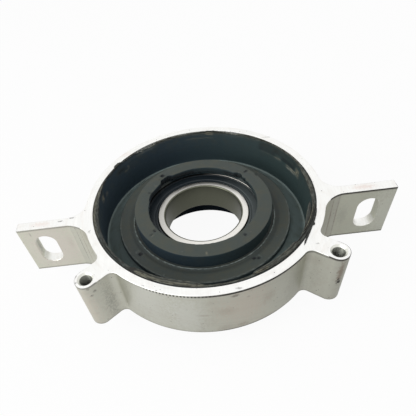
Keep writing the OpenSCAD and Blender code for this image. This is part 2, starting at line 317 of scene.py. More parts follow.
# %% A capped grid, for the body and for what cuts it
def capped_piece(name, *grids):
    """Grids whose columns run right round, each with its first and last row closed by one flat face."""
    faces, start = [], 0
    for rows, columns in (grid.shape[:2] for grid in grids):
        ends = np.arange(columns), np.arange(rows * columns - 1, (rows - 1) * columns - 1, -1)
        faces += (grid_quads(rows, columns, False) + start).tolist() + [(end + start).tolist() for end in ends]
        start += rows * columns
    mesh = bpy.data.meshes.new(name)
    mesh.from_pydata(np.concatenate([grid.reshape(-1, 3) * MM for grid in grids]).tolist(), [], faces)
    solid = bmesh.new()
    solid.from_mesh(mesh)
    bmesh.ops.recalc_face_normals(solid, faces=solid.faces)
    solid.to_mesh(mesh)
    solid.free()
    return linked(name, mesh)


bracket = capped_piece("bracket", bracket_body())
print("bracket before cutting:", len(bracket.data.polygons), "faces")

# %% [markdown]
# ## Cutting the bracket
# The opening, the slots and the tapped holes are cut with boolean modifiers. Each cutter is again a path with a
# profile: it widens at both ends, so the cut leaves a broken edge. The tapped holes carry a real thread, which is a
# radius that rises and falls along a helix.

# %% The cutters
def opening_cutter(broken=0.05, past=1.0):
    """A circle through the bracket that widens by as much as it has risen above the start of the broken edge."""
    z = np.array([top_z + past, top_z - broken, base_z + broken, base_z - past])
    r = opening_r + np.array([broken + past, 0, 0, broken + past])
    return turned(np.stack([r, z], -1), 480)


def slot_cutter(side, broken=0.22, past=0.6, steps=28):
    """A slot's outline, two half circles, carried through the ear and widened at both faces."""
    a = np.linspace(0, math.pi, steps)
    end = np.stack([np.cos(a), np.sin(a)], -1)
    run = slot_half_l - slot_half_w
    y = np.array([ear_back + past, ear_back - broken, ear_front + broken, ear_front - past])
    r = slot_half_w + np.array([broken + past, 0, 0, broken + past])
    loop = [r[:, None, None] * end + (0, run), -r[:, None, None] * end - (0, run)]
    x, z = np.moveaxis(np.concatenate(loop, 1), -1, 0)
    return np.stack([side * slot_x + x, y[:, None] + 0 * x, mid_z + z], -1)


def thread_cutter(side, tap_r=2.5, depth=0.5, pitch=1.0, chamfer=1.2, past=0.5, rows=260, columns=36):
    """A hole whose radius rises and falls once a pitch along a helix, with a chamfer at each end."""
    z = np.linspace(top_z + past, base_z - past, rows)[:, None]
    a = angles_round(columns)
    tooth = np.abs((z / pitch - a / (2 * math.pi)) % 1 - 0.5) * 2
    flare = chamfer - np.minimum(top_z - z, z - base_z)
    r = tap_r + np.maximum(depth * tooth, flare)
    return np.stack([side * boss_x + r * np.cos(a), boss_y + r * np.sin(a), z + 0 * r], -1)


# %% Cut
def cut(piece, cutters):
    """Takes the cutters out of a piece with boolean modifiers, and keeps the result as its mesh."""
    for cutter in cutters:
        change = piece.modifiers.new(cutter.name, "BOOLEAN")
        change.operation, change.solver, change.object = "DIFFERENCE", "EXACT", cutter
    result = bpy.data.meshes.new_from_object(piece.evaluated_get(bpy.context.evaluated_depsgraph_get()))
    piece.modifiers.clear()
    piece.data = result
    for cutter in cutters:
        bpy.data.objects.remove(cutter)


cut(bracket, [capped_piece("opening", opening_cutter())]
    + [capped_piece("slot", slot_cutter(side)) for side in (-1, 1)]
    + [capped_piece("thread", thread_cutter(side)) for side in (-1, 1)])
smooth(bracket.data, 20)
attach(bracket, "mount")
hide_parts("housing_bracket")
print("bracket after cutting:", len(bracket.data.polygons), "faces")

# %% [markdown]
# ## The rubber cushion
# The cushion is one moulding, turned about the shaft's axis, so its section is rounded and carried round. What makes it
# look real is what isn't round: the rim's width, the places where its edge lies under the metal's, two notches torn in
# the lip and small pits left by the mould's pins. Each is a shift of the grid that depends on the radius, the height
# and the angle, added to the whole array at once.

# %% Sizes of the cushion, in millimetres
face_z, shoulder_in, shoulder_out = 7.5, 24.0, 30.0
wall_r, rim_r, ledge_r, hub_r, hub_foot_r, lip_r, bare_r = 53.0, 53.2, 44.75, 35.3, 35.4, 27.9, 30.95
ledge_z, lip_z, lip_under_z, web_top_z, web_foot_z, rubber_base_z = 6.1, 14.2, 11.2, 3.8, -1.1, -12.0
bearing_r, sleeve_r, sleeve_foot_r, sleeve_top_z, sleeve_foot_z = 34.0, 35.6, 31.2, 5.2, -9.1
skirt_r, skirt_out_r, collar_r, skirt_top_z, skirt_z, web_t = 33.0, 36.0, 38.0, -10.3, -24.8, 5.4
bead_in, bead_out, bead_h = 36.45, 37.15, 0.45
seam_r, seam_drop, crest_r, rim_inside_r = 55.4, 0.35, 55.2, 53.6  # the rim's top, from the metal inwards
groove_out, groove_r, groove_in = 54.7, 54.6, 54.5
wall_mid_r, wall_mid_z = 53.1, 9.0

# %% The section
rubber_outline = rounded_outline([
    (opening_r, top_z - 3, 0), (opening_r, top_z - seam_drop, 0), (seam_r, top_z - seam_drop, 0), (crest_r, top_z, 0),
    (groove_out, top_z + 0.02, 0), (groove_r, top_z, 0), (groove_in, top_z, 0), (rim_inside_r, top_z - 0.1, 0),
    (rim_r, top_z - 0.2, 0.3), (wall_mid_r, wall_mid_z, 0), (wall_r, web_foot_z, 0.8),
    (ledge_r + 0.1, web_top_z, 0.8), (ledge_r, ledge_z, 0.4), (bead_out, ledge_z, 0), (bead_out, ledge_z + bead_h, 0.2),
    (bead_in, ledge_z + bead_h, 0.2), (bead_in, ledge_z, 0), (hub_foot_r, ledge_z, 0), (hub_r, lip_z - 0.35, 0.3),
    (lip_r, lip_z, 0.35), (lip_r, lip_under_z, 0.4), (bare_r, face_z + 0.7, 0), (bare_r, face_z, 0),
    (bearing_r, face_z, 0), (bearing_r, sleeve_top_z, 0), (sleeve_r, sleeve_top_z, 0), (sleeve_r, sleeve_foot_z, 0),
    (sleeve_foot_r, sleeve_foot_z, 0), (sleeve_foot_r, skirt_top_z, 0.3), (skirt_r, skirt_top_z, 0.3),
    (skirt_r, skirt_z, 0.5), (skirt_out_r, skirt_z, 0.7), (collar_r, web_top_z - web_t, 1.0),
    (ledge_r, web_top_z - web_t, 1.5), (wall_r, web_foot_z - web_t, 1.5), (wall_r, rubber_base_z, 0.6),
    (opening_r, rubber_base_z, 0)], steps=3)

# %% More points where it is seen and marked
rim_step, marked_step, seen_step, hidden_step = 0.25, 0.7, 1.6, 12.0
next_corner = np.roll(rubber_outline, -1, 0)
side_r, side_z = ((rubber_outline + next_corner) / 2).T
level_side = np.abs(next_corner - rubber_outline) @ (1, -1) > 0
seen_side = (side_z > -2) & (side_r < opening_r - 0.1) & ((side_r > hub_r) | (side_z > face_z))
on_rim = (side_z > top_z - 0.5) & (side_r > wall_r)
marked_side = (level_side & (side_r < ledge_r)) | ((side_z > wall_mid_z) & (side_r > ledge_r))
section_steps = np.select([on_rim, seen_side & marked_side, seen_side], [rim_step, marked_step, seen_step], hidden_step)
rubber_section = divided(rubber_outline, section_steps)
print("rubber section:", len(rubber_section), "points")

# %% The rim and the lip by angle
# Each row is an angle in degrees from the +X side and a length in millimetres.
rim_edges = [
    (-180, 53), (-160, 53), (-148, 53.3), (-132, 53.4), (-130.5, 53.2), (-129, 52.5), (-126, 52.3), (-100, 52.2),
    (-97, 53), (-93, 54.2), (-72, 54.3), (-70, 52.9), (-66, 52.6), (-44, 52.5), (-41, 53.8), (-14, 53.9),
    (-10, 53.5), (0, 53.3), (10, 53.6), (16, 54.6), (25, 55.2), (160, 55.2), (168, 54), (175, 53.3), (180, 53)]
rim_drops = [
    (-180, 0.1), (26, 0.1), (30, 0.6), (34, 0.2), (40, 0.3), (46, 0), (59, 0), (63, 0.8), (66, 1.4), (70, 0.9),
    (73, 0), (91, 0.1), (95, 0.6), (105, 0.4), (114, 0.4), (116.5, 1.7), (126, 1.8), (128.5, 0.7), (139, 0.6),
    (141, 0), (144.5, 0), (147, 0.4), (170, 0.3), (180, 0.1)]
lip_notches = [
    (29, 0), (30.5, 0.7), (32.5, 0.8), (34, 0.2), (36, 0.4), (38.5, 1.5), (41, 1.7), (44, 1.5), (47.5, 0), (50, 0),
    (112, 0), (116, 0.2), (120.5, 0.3), (123.5, 1.9), (128, 2.1), (134.5, 2), (137, 1), (139, 0.3), (143, 0.2),
    (152, 0.4), (157.5, 0.9), (160, 0.9), (166, 0.5), (170, 0)]


def by_angle(table, angle):
    """A length read from a table by angle, with straight lines between its rows."""
    degrees, lengths = np.array(table).T
    return np.interp(degrees_from(angle), degrees, lengths)


# %% Pits that the mould's pins left
# Radius, angle in degrees, reach along the radius, reach across it and depth, in millimetres.
mould_pits = [
    (31.8, 128.7, 0.9, 0.9, 0.9), (32.8, 38.8, 1.3, 0.4, 0.5), (35.1, 29, 0.5, 0.9, 0.4),
    (29.6, -147.5, 0.5, 0.8, 0.5), (32.2, -145.5, 0.9, 0.4, 0.35), (30.9, -54, 0.7, 0.6, 0.5),
    (29.6, 156, 1, 0.4, 0.3), (40.6, -145.3, 0.9, 0.6, 0.8), (39.4, -57.5, 0.7, 0.8, 0.5),
    (40.7, -55, 0.5, 0.8, 0.4), (42.6, 38.5, 0.7, 0.5, 0.4)]


def pits(angle, r):
    """Depth of the pits: a flat-bottomed bell, exp of minus the fourth power of the distance in shares of the reach."""
    depth = 0 * r
    for pit_r, pit_angle, along, across, deep in mould_pits:
        beside = pit_r * np.radians(degrees_from(angle, pit_angle))
        depth += deep * np.exp(-((r - pit_r) / along) ** 4 - (beside / across) ** 4)
    return depth


# %% Sizes of the shifts
lip_bend_r, lip_edge_r, trough_r, trough_w, trough_deep = 33.0, 30.0, 38.3, 0.7, 0.22
groove_deep, groove_from, groove_to = 0.35, -154, -137
lifted_from, lifted_to = 27, 46
rim_wave, wall_wave, drop_wave, lip_wave, trough_wave = 0.06, 0.07, 0.03, 0.05, 0.15  # how wavy each is
drop_unevenness, torn_unevenness, torn_sink = 0.25, 0.1, 0.12  # shares of the drop and of the notch
outer_part_r, least_drop = wall_r - 0.9, -0.02


def share_of(value, start, end):
    """How far a value is from a start to an end, from 0 to 1."""
    return np.clip((value - start) / (end - start), 0, 1)


# %% The shifts of the rim
def rim_shifts(angle, r0, z0):
    """Outwards and down at the rim: its inner edge by angle, its top's drop by angle, and a groove in its left."""
    outer = r0 > outer_part_r
    edge = by_angle(rim_edges, angle) + rim_wave * ripple(angle, 14, 90, 6)
    out = share_of(r0, opening_r, rim_r) * share_of(z0, web_foot_z, top_z - 0.6) ** 2 * (edge - rim_r)
    wall = (z0 > web_foot_z - 1) & (z0 < top_z - 2) & (r0 < rim_r)
    out = out + np.where(wall, wall_wave * ripple(angle, 2, 9, 4), 0)
    drop = by_angle(rim_drops, angle) * (1 + drop_unevenness * ripple(angle, 30, 140, 7))
    drop = np.maximum(drop + drop_wave * ripple(angle, 12, 120, 5), least_drop)
    down = share_of(z0, top_z - 3, top_z) * drop
    groove = (np.abs(r0 - (groove_r + groove_in) / 2) < 0.12) & (z0 > top_z - 0.2)
    down = down + np.where(groove, groove_deep * window(angle, groove_from, groove_to, 3), 0)
    return np.where(outer, out, 0), np.where(outer, down, 0)


# %% The shifts of the lip and the ledge
def lip_shifts(angle, r0, z0):
    """Outwards and down at the hub's lip: the torn notches, which also sink a little, and a lifted underside."""
    on_lip, on_top = (z0 > face_z + 0.5) & (r0 < hub_foot_r), z0 > lip_z - 1
    torn = by_angle(lip_notches, angle) * (1 + torn_unevenness * ripple(angle, 30, 110, 8))
    torn = torn + lip_wave * ripple(angle, 10, 70, 9)
    out = share_of(r0, lip_bend_r, lip_r) * torn
    down = np.where((r0 < lip_edge_r) & on_top, torn_sink * torn, 0) + np.where(on_top, pits(angle, r0), 0)
    lifted = share_of(r0, bare_r, lip_r) * (z0 < lip_z - 0.8) * window(angle, lifted_from, lifted_to, 4)
    return np.where(on_lip, out, 0), np.where(on_lip, down - lifted, 0)


def ledge_drop(angle, r0, z0):
    """Down on the ledge: the pits and a shallow trough that wanders round."""
    on_ledge = (np.abs(z0 - ledge_z) < 0.3) & (r0 > bead_out + 0.1) & (r0 < ledge_r - 0.1)
    trough = trough_deep * np.exp(-((r0 - trough_r - trough_wave * ripple(angle, 3, 20, 2)) / trough_w) ** 2)
    return np.where(on_ledge, pits(angle, r0) + trough, 0)


# %% The cushion
def rubber_points(angle, r0, z0):
    """The turned section, moved outwards and down by the shifts of the rim, the lip and the ledge."""
    (rim_out, rim_down), (lip_out, lip_down) = rim_shifts(angle, r0, z0), lip_shifts(angle, r0, z0)
    r, z = r0 + rim_out + lip_out, z0 - rim_down - lip_down - ledge_drop(angle, r0, z0)
    return np.stack([r * np.cos(angle), r * np.sin(angle), z], -1)


rubber_columns = 560
rubber_angle = angles_round(rubber_columns)
section_r, section_z = (rubber_section[:, k, None] + 0 * rubber_angle for k in (0, 1))
cushion_points = rubber_points(rubber_angle, section_r, section_z)
cushion = piece_of_quads("cushion", cushion_points, grid_quads(len(rubber_section), rubber_columns), 40)
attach(cushion, "mount")
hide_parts("rubber_cushion")

# %% [markdown]
# ## Torn flash
# Flash is the thin skin of rubber that squeezes out where a mould's halves meet. On this part it was trimmed roughly:
# strands of it still lie on the rim, one is torn off and leans inwards, and one has lifted over the metal. Each strand
# is a flat rounded section carried along the rim, so it stays a closed solid, and all of them make one piece.

# %% Strands of flash
def strand(turns, inner, outer, high, thick=0.4, lean=0.0, rows=48, columns=12):
    """A strand between two radii along the rim. Its section is a squarish ellipse of that width and thickness, and a
    lean raises its inner edge. Radii and heights are read along the strand with straight lines between them."""
    t, s = np.linspace(0, 1, rows)[:, None], angles_round(columns)
    steps = np.linspace(0, 1, len(turns))
    a, r_in, r_out, top = (np.interp(t, steps, np.broadcast_to(v, len(turns)))
                           for v in (np.radians(turns), inner, outer, high))
    c, d = (np.sign(f) * np.abs(f) ** 0.6 for f in (np.cos(s), np.sin(s)))
    taper = np.clip(np.minimum(t, 1 - t) * 12, 0.15, 1)
    r = (r_in + r_out) / 2 + (r_out - r_in) / 2 * taper * c + 0.05 * np.sin(37 * t + 5 * s)
    z = top - thick / 2 + thick / 2 * taper * d - lean * c + 0.06 * np.sin(23 * t)
    return np.stack([r * np.cos(a), r * np.sin(a), z], -1)


# Each strand, and how pale its body and its inner edge are.
torn_strands = [
    (strand([-128.3, -124, -112, -102, -97, -94], [53.6, 53.5, 53.5, 53.6, 54.3, 54.9], crest_r, top_z + 0.2),
     0.55, 0.1),
    (strand([-70.5, -66, -58, -50, -45, -42], [54, 53.7, 53.6, 53.6, 53.7, 54.3], crest_r, top_z + 0.18), 0.15, 0.2),
    (strand([-70.5, -67, -63], [54, 53.9, 54.1], [54.4, 54.35, 54.3], top_z + 0.4, 0.35, rows=14), 0.9, 0),
    (strand([-70, -66.5, -63.5], [54.6, 54.7, 54.9], [54.95, 55.05, 55.05], top_z + 0.4, 0.35, rows=14), 0.9, 0),
    (strand([-12.5, -17, -22, -27, -32, -35], [52.7, 52.05, 51.8, 52.1, 52.8, 53.3],
            [53, 53.6, 53.9, 53.8, 53.6, 54], [18.2, 18.3, 18.4, 18.4, 18.5, 18.6], lean=0.1), -0.5, 1.5),
    (strand([-15, -22, -28, -34, -40, -45, -52], [55, 54.75, 54.4, 54.05, 53.7, 53.45, 53.3],
            [55.25, 55.15, 54.9, 54.5, 54.15, 53.85, 53.6], top_z + 0.12), -1, 0),
    (strand([-14, -20, -26, -32, -38], [54.2, 54, 53.75, 53.5, 53.3], [54.45, 54.3, 54.1, 53.85, 53.6],
            top_z + 0.15), 0.8, 0),
    (strand([-17, -22, -26, -31, -36, -40, -43], [55.2, 55.25, 55.3, 55.3, 55.6, 56.15, 56.95],
            [56, 56.2, 56.25, 56.15, 56.45, 56.95, 57.6], top_z + 0.4, 0.5), -0.85, 0),
    (strand([-28.2, -29, -30], 56, [56.6, 56.85, 56.5], top_z + 0.35, 0.5, rows=10), 0.1, 0),
    (strand([74.5, 78, 82, 87], crest_r, [55.7, 56.1, 56.05, 55.6], top_z + 0.12), -0.5, 0),
    (strand([140.5, 142, 145, 146.5], crest_r, [55.9, 56.8, 56.9, 55.9], top_z + 0.2, 0.5, rows=14), -0.7, 0)]
torn_flash = capped_piece("torn_flash", *(grid for grid, body, edge in torn_strands))
torn_flash.data.shade_smooth()
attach(torn_flash, "mount")
print("torn flash: %d strands, %d faces" % (len(torn_strands), len(torn_flash.data.polygons)))

# %% [markdown]
# ## The bearing
# The rings and seals are turned parts, so a rounded section carried round is exactly how they are made. The race is an
# arc cut into a ring's section. The inner ring rides on the body that spins, and the rest stays with the bracket.

# %% Rings
bore_r, pitch_r, race_r, ring_corner, ring_columns = 20.0, 27.0, 4.019, 0.6, 256


def race_arc(shoulder, up):
    """Points of the race in a ring's section: a circle about the balls' centre, where it passes the shoulder."""
    end = math.asin(math.sqrt(race_r ** 2 - (shoulder - pitch_r) ** 2) / race_r)
    a = np.linspace(-end, end, 15) if up else np.linspace(end, -end, 15)
    return [(pitch_r + math.copysign(race_r, shoulder - pitch_r) * math.cos(t), race_r * math.sin(t), 0) for t in a]


def flipped(corners):
    """The same corners on the other side of the bearing's middle."""
    return [(r, -z, q) for r, z, q in corners]


def turned_piece(name, section, body, node):
    """A section carried round the shaft's axis as a finished piece that stands for a node."""
    piece = piece_of_quads(name, turned(section, ring_columns), grid_quads(len(section), ring_columns), 28)
    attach(piece, body)
    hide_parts(node)
    return piece


inner_lower = [(bore_r, -face_z, ring_corner), (shoulder_in, -face_z, ring_corner)]
inner_section = rounded_outline(inner_lower + race_arc(shoulder_in, True) + flipped(inner_lower[::-1]), 4)
outer_upper = [(30.0, 5.7, 0), (30.7, 5.7, 0), (30.7, 7.1, 0), (30.25, 7.1, 0), (30.25, face_z, 0.3)]
outer_back = [(bearing_r, -face_z, ring_corner), (bearing_r, face_z, ring_corner)]
outer_section = rounded_outline(outer_back + outer_upper[::-1] + race_arc(shoulder_out, False)
                                + flipped(outer_upper), 4)
inner_ring = turned_piece("shaft_ring", inner_section, "shaft_ring", "inner_ring")
outer_ring = turned_piece("bearing_ring", outer_section, "mount", "outer_ring")

# %% Seals
seal_corners = [
    (24.08, 5.7, 0.1), (24.98, 5.7, 0.1), (25.88, 6.2, 0.3), (29.1, 6.2, 0.3), (30.0, 5.7, 0), (30.7, 5.7, 0),
    (30.7, 7.1, 0), (29.75, 7.1, 0.1), (29.6, 6.9, 0.1), (29.3, 6.9, 0.1), (29.15, 7.1, 0.1), (26.1, 7.1, 0.15),
    (25.75, 6.75, 0.15), (25.35, 6.75, 0.12), (25.2, 6.95, 0.1), (24.3, 6.95, 0.15), (24.08, 6.75, 0.08)]
seal_section, back_section = rounded_outline(seal_corners, 3), rounded_outline(flipped(seal_corners[::-1]), 3)
upper_seal = turned_piece("face_seal", seal_section, "mount", "upper_seal")
lower_seal = turned_piece("back_seal", back_section, "mount", "lower_seal")

# %% [markdown]
# ## Shared effects
# An effect that several finishes need is a shader node group: built once, with named inputs, and placed in each
# material with its own values. A group here only puts out a mask or a height. The shader itself stays in the material.
# All patterns read Object coordinates, in metres, so they are fixed to the piece and go with it. A socket knows the
# node tree that it belongs to, so the helpers need no tree when one of their inputs is a socket.

# %% Nodes
def is_socket(value):
    """Whether a value is a socket to link, and not a constant to set."""
    return isinstance(value, bpy.types.NodeSocket)


def fill(node, inputs):
    """Sets or links a node's inputs."""
    for key, value in inputs.items():
        if is_socket(value):
            node.id_data.links.new(value, node.inputs[key])
        else:
            node.inputs[key].default_value = value
    return node


def add(tree, kind, inputs=None, **settings):
    """One shader node. Settings are its own properties; each input is a value or a socket to link."""
    node = tree.nodes.new("ShaderNode" + kind)
    for key, value in settings.items():
        setattr(node, key, value)
    return fill(node, inputs or {})


def tree_of(values):
    """The node tree of the first socket among some values."""
    return next(value for value in values if is_socket(value)).id_data


# %% Short names for the nodes that are used most
def calc(operation, *values, clamp=False):
    """A Math node's result."""
    return add(tree_of(values), "Math", dict(enumerate(values)), operation=operation, use_clamp=clamp).outputs[0]


def times(first, second):
    """The product of two values."""
    return calc("MULTIPLY", first, second)


def rest(share):
    """What is left of 1."""
    return calc("SUBTRACT", 1.0, share)


def spread(value, low, high, to_low=0.0, to_high=1.0):
    """A value taken from one range to another and held there."""
    return add(value.id_data, "MapRange", {0: value, 1: low, 2: high, 3: to_low, 4: to_high}).outputs[0]


def blend(share, first, second):
    """A mix of two colours, each a socket or red, green and blue."""
    first, second = (tone if is_socket(tone) else (*tone, 1.0) for tone in (first, second))
    return add(share.id_data, "Mix", {0: share, 6: first, 7: second}, data_type="RGBA").outputs[2]


def layered(base, layers):
    """A colour with others laid over it one after another, each with its share."""
    for share, tone in layers:
        base = blend(share, base, tone)
    return base


def parts(vector):
    """The x, y and z of a vector."""
    return add(vector.id_data, "SeparateXYZ", {0: vector}).outputs


def radius(x, y):
    """The distance from the shaft's axis."""
    return calc("SQRT", calc("ADD", times(x, x), times(y, y)))


def noise(at, fineness, detail, roughness):
    """A noise texture's value at a place."""
    inputs = {"Vector": at, "Scale": fineness, "Detail": detail, "Roughness": roughness}
    return add(at.id_data, "TexNoise", inputs).outputs[0]


def between_places(operation, *values):
    """A vector made from others."""
    return add(tree_of(values), "VectorMath", dict(enumerate(values)), operation=operation).outputs[0]


# %% Groups of lines
nowhere = (0.0, 0.0, 0.0)


def effect(name, inputs, outputs):
    """An empty shader group with named inputs, each a value or a vector, and named value outputs."""
    tree = bpy.data.node_groups.new(name, "ShaderNodeTree")
    for key, value in inputs.items():
        kind = "NodeSocketVector" if isinstance(value, tuple) else "NodeSocketFloat"
        tree.interface.new_socket(key, in_out="INPUT", socket_type=kind).default_value = value
    for key in outputs:
        tree.interface.new_socket(key, in_out="OUTPUT", socket_type="NodeSocketFloat")
    return tree, tree.nodes.new("NodeGroupInput").outputs, tree.nodes.new("NodeGroupOutput")


def lines_group():
    """Long fine lines: noise read at a place that is stretched along one direction."""
    inputs = {"Place": nowhere, "Stretch": (1.0, 1.0, 1.0), "Fineness": 500.0}
    tree, given, end = effect("drawn_lines", inputs, ["Line"])
    stretched = between_places("MULTIPLY", given["Place"], given["Stretch"])
    fill(end, {"Line": spread(noise(stretched, given["Fineness"], 4.0, 0.65), 0.3, 0.7)})
    return tree


def turned_lines_group():
    """Fine rings: noise read at the distance from the shaft's axis and the height. Along makes it change with the
    angle: the direction from the axis, times that length, is added to the place where the noise is read."""
    tree, given, end = effect("turned_lines", {"Place": nowhere, "Fineness": 3000.0, "Along": 0.0}, ["Line"])
    x, y, z = parts(given["Place"])
    r = radius(x, y)
    far = calc("DIVIDE", given["Along"], calc("MAXIMUM", r, 0.001))
    across = add(tree, "CombineXYZ", {0: r, 1: calc("ADD", z, times(x, far)), 2: times(y, far)}).outputs[0]
    fill(end, {"Line": spread(noise(across, given["Fineness"], 3.0, 0.6), 0.3, 0.7)})
    return tree


# %% Groups of patches and spots
def blotches_group():
    """Soft patches: noise, kept where it passes a level."""
    tree, given, end = effect("blotches", {"Place": nowhere, "Fineness": 60.0, "Low": 0.4, "High": 0.7}, ["Mask"])
    fill(end, {"Mask": spread(noise(given["Place"], given["Fineness"], 5.0, 0.6), given["Low"], given["High"])})
    return tree


def specks_group():
    """Small spots: the middles of cells, in the share of the cells that a patchy noise picks."""
    tree, given, end = effect("specks", {"Place": nowhere, "Fineness": 900.0, "Share": 0.3}, ["Mask"])
    cells = add(tree, "TexVoronoi", {"Vector": given["Place"], "Scale": given["Fineness"]}).outputs
    pick = add(tree, "SeparateColor", {0: cells["Color"]}).outputs[0]
    picked = calc("LESS_THAN", pick, given["Share"])
    fill(end, {"Mask": times(spread(cells["Distance"], 0.42, 0.2), picked)})
    return tree


# %% Groups for faces and single marks
def facing_group():
    """How far a face looks up, and how far it is a slanting edge between a flat end and an upright side."""
    tree, given, end = effect("facing", {"Normal": (0.0, 0.0, 1.0)}, ["Up", "Edge"])
    z = parts(given["Normal"])[2]
    slant = times(calc("ABSOLUTE", z), rest(times(z, z)))
    fill(end, {"Up": spread(z, 0.2, 0.95), "Edge": spread(slant, 0.1, 0.35)})
    return tree


def smudge_group():
    """One mark: its middle's nearness, in shares of its reach, eaten away by the grain that is passed in."""
    inputs = {"Place": nowhere, "Middle": nowhere, "Reach": (0.01, 0.01, 0.01), "Grain": 0.5}
    tree, given, end = effect("smudge", inputs, ["Mask"])
    away = between_places("SUBTRACT", given["Place"], given["Middle"])
    away = between_places("DIVIDE", away, given["Reach"])
    far = add(tree, "VectorMath", {0: away}, operation="LENGTH").outputs["Value"]
    fill(end, {"Mask": spread(calc("ADD", rest(far), given["Grain"]), 0.35, 0.8)})
    return tree


effects = lines, turned_lines, blotches, specks, facing, smudge = (
    lines_group(), turned_lines_group(), blotches_group(), specks_group(), facing_group(), smudge_group())
print("effects:", [group.name for group in effects])


# %% The groups in a material
def place(group, **inputs):
    """A group's outputs, with the group placed in the tree of its linked inputs."""
    return add(tree_of(inputs.values()), "Group", inputs, node_tree=group).outputs


def rings(at, fineness, along=0.0):
    """The turned lines at a place."""
    return place(turned_lines, Place=at, Fineness=fineness, Along=along)["Line"]


def patches(at, fineness, low, high):
    """The blotches at a place."""
    return place(blotches, Place=at, Fineness=fineness, Low=low, High=high)["Mask"]


def spots(at, fineness, share):
    """The specks at a place."""
    return place(specks, Place=at, Fineness=fineness, Share=share)["Mask"]


# %% [markdown]
# ## Finishes
# Each material starts from a Principled BSDF with the values that hold all over, then gets colours, roughness and bumps
# that change over the surface. The bracket has four: bright sawn ends, the duller extruded skin with lines along the
# die's direction, the machined ear faces, slots and chamfers, and the threads. The sawn ends' brightness against the
# skin is partly painted light from above, and the threads are painted dark as shade in the holes.

# %% A material's start
def finish(name, constants):
    """A new material: its shader, with the values that hold all over, and the piece's own coordinates and normal."""
    material = bpy.data.materials.new(name)
    material.use_nodes = True
    tree = material.node_tree
    where = add(tree, "TexCoord").outputs
    return material, fill(tree.nodes["Principled BSDF"], constants), where["Object"], where["Normal"]


def bumped(heights):
    """The normal from bump nodes in a row: each pair is a height and its depth in metres."""
    normal = None
    for height, depth in heights:
        inputs = {"Height": height, "Distance": depth, "Strength": 1.0}
        if normal is not None:
            inputs["Normal"] = normal
        normal = add(height.id_data, "Bump", inputs).outputs[0]
    return normal


def surface(shader, base, rough, *heights):
    """Links what changes over a surface: its colour, its roughness and its bumps."""
    fill(shader, {"Base Color": base, "Roughness": rough, "Normal": bumped(heights)})


def attribute(shader, name):
    """A vertex attribute's value."""
    return add(shader.id_data, "Attribute", attribute_name=name).outputs["Fac"]


def toned(tone, share):
    """A colour made darker or lighter."""
    return tuple(share * c for c in tone)


# %% [markdown]
# ## Marks on the bracket
# The bracket has been handled: dirt in the corners of its bosses, scratches, brown stains. Some marks are painted light
# instead: painted highlights on the left of the front and in the right slot, and painted shade in the fillets, at the
# ears' steps and roots and in the left slot. A texture that repeats would put them anywhere, so each mark is written
# down with its middle, its reach and its tone. The edge that the saw left has burrs at the front right, with a painted
# shadow under them, painted shade in the teeth's dents, and edges painted darker on the right and underneath. That is
# a vertex attribute, because it follows the edge's own row of points.

# %% The marks
# pale serves only for painted highlights, and shade only for painted shade.
dark, brown, shade, pink = (0.05, 0.045, 0.04), (0.36, 0.30, 0.24), (0.40, 0.40, 0.35), (0.80, 0.66, 0.61)
pale, rosy, tan, clear = (0.72, 0.73, 0.69), (0.65, 0.575, 0.49), (0.70, 0.64, 0.585), (0.78, 0.79, 0.70)
# Each row is a middle (x, y, z) and a reach (x, y, z) in millimetres, a tone and a strength.
# On the skin, the pale marks at (-12.6, -58.7) and (-29, -52.5) are painted highlights; the shade marks, the brown mark
# in the fillet at (-47, -37.5) and the thin dark and brown lines at x = ±62 to ±67, where the ears meet their fillets,
# are painted shade.
skin_marks = [
    (8.9, -59.3, 15.7, 3.6, 1.5, 1.8, dark, 0.8), (14.5, -58.2, 12.5, 2, 1, 1.2, dark, 0.4),
    (6, -59.7, 4.7, 0.6, 0.6, 0.6, brown, 1), (5, -59.8, 4.6, 10, 3, 7, brown, 0.3),
    (4, -59.9, -9.6, 8, 3, 4.5, brown, 0.3), (-12.6, -58.7, 2, 17, 8, 32, pale, 0.4),
    (14, -58.3, 6, 28, 10, 28, rosy, 0.5), (-5.3, -59.8, 3.1, 6, 3, 1.6, brown, 0.35),
    (-19.4, -56.8, 1.3, 0.5, 0.5, 0.5, dark, 0.6), (12.1, -58.8, -9.5, 6, 3, 3, brown, 0.4),
    (24, -55, 6, 9, 4, 8, brown, 0.25), (-54.2, -49.1, 17.3, 1.8, 1.6, 1.4, dark, 0.45),
    (-52, -47.9, 14.2, 1.8, 1.6, 1.4, dark, 0.5), (-53.8, -49, 12.2, 1.6, 1.4, 1.4, dark, 0.4),
    (-29, -52.5, 9, 26, 18, 40, pale, 0.35), (39, -45.6, 2, 15, 15, 40, shade, 0.3),
    (56.4, -49.2, 9, 2.6, 2.4, 14, brown, 0.85), (56.6, -49.2, 2.8, 2, 2, 4, dark, 0.95),
    (-47, -37.5, 4, 4, 4, 14, brown, 0.2), (63.3, -12, 3.3, 0.8, 3, 30, brown, 0.7),
    (66.6, -10.3, 3.3, 0.5, 1, 30, brown, 0.7), (-64.2, -11, 3.3, 0.35, 2, 30, dark, 0.5),
    (-62, -12.3, 3.3, 0.35, 2, 30, brown, 0.7), (-49.3, -42.8, -1, 6, 7, 32, shade, 0.9),
    (-57, -47.5, 2, 8, 9, 34, rosy, 0.45), (15, -57, 16.5, 3, 2, 1, dark, 0.35)]
